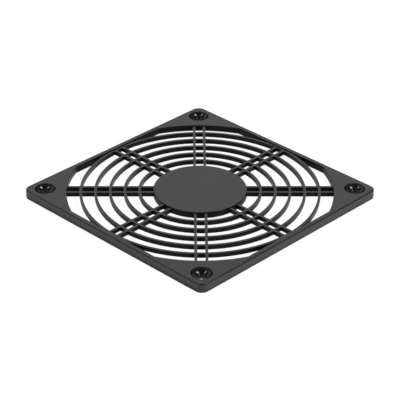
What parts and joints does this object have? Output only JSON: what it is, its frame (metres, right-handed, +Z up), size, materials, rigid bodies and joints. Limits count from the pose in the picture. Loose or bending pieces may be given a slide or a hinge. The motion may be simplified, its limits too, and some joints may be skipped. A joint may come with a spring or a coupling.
{
  "type": "fan cover",
  "caption": "Square moulded plastic cover that screws over the face of an axial fan: a solid hub disc, concentric rings and paired straight ribs keep fingers out and let air through.",
  "frame": {"origin": "middle of the underside, on the surface that the cover rests on", "axes": "+Z up out of the face that shows when the cover is fitted; X and Y along the sides of the square frame"},
  "size_m": [0.1204, 0.1204, 0.0045],
  "materials": {
    "moulded_plastic": "satin black injection-moulded ABS with a fine even texture; the countersinks are smooth and glossy"
  },
  "bodies": {
    "root": {"fan_cover": "moulded_plastic"}
  },
  "joints": []
}
